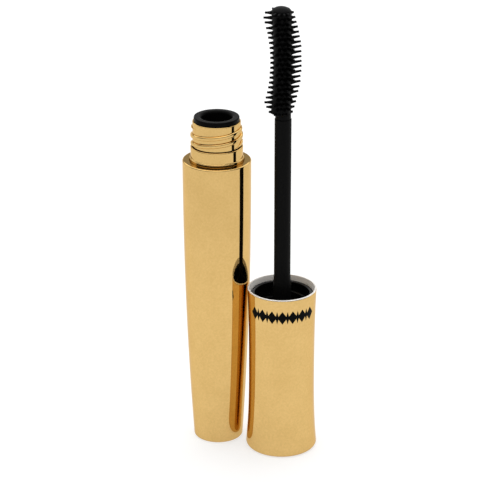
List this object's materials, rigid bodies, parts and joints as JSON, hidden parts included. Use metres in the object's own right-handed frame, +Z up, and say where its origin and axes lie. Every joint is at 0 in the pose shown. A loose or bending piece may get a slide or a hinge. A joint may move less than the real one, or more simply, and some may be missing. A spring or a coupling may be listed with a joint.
{
  "type": "mascara tube",
  "caption": "Open mascara tube: tapered bottle with a two-start threaded neck and wiper, beside its waisted cap standing inverted with the wand and brush.",
  "frame": {"origin": "centre of the flat foot of the bottle, on the table", "axes": "+Z up along the bottle's axis; the applicator stands at +X, a little towards -Y, which is the viewer's side"},
  "size_m": [0.0376, 0.0257, 0.1292],
  "materials": {
    "gold_metallised_shell": "vacuum-metallised and lacquered pale gold, mirror polish",
    "gold_metallised_neck": "vacuum-metallised and lacquered pale gold, mirror polish",
    "gold_metallised_cap": "vacuum-metallised pale gold outside, untinted silver inside the rim",
    "black_wiper": "satin, moulded",
    "mascara_paste": "thick wet paste",
    "black_inner_cap": "glossy moulded",
    "white_foam": "closed-cell foam",
    "black_stem": "satin moulded",
    "black_brush": "satin moulded elastomer"
  },
  "bodies": {
    "bottle": {"bottle_shell": "gold_metallised_shell", "shoulder_ring": "gold_metallised_shell", "inner_vial": "gold_metallised_neck", "wiper": "black_wiper", "mascara_fill": "mascara_paste"},
    "cap_gasket": {"cap_gasket": "white_foam"},
    "applicator": {"cap_shell": "gold_metallised_cap", "inner_cap": "black_inner_cap", "wand_rod": "black_stem", "brush": "black_brush"}
  },
  "joints": [
    {"name": "applicator_lift", "type": "slide", "parent": "bottle", "child": "cap_gasket", "axis": [0.066, -0.0227, 0.9976], "range_m": [0, 0.1]},
    {"name": "cap_twist", "type": "hinge", "parent": "cap_gasket", "child": "applicator", "pos_m": [0.01805, -0.0062, 0], "axis": [0, 0, 1], "continuous": true}
  ]
}
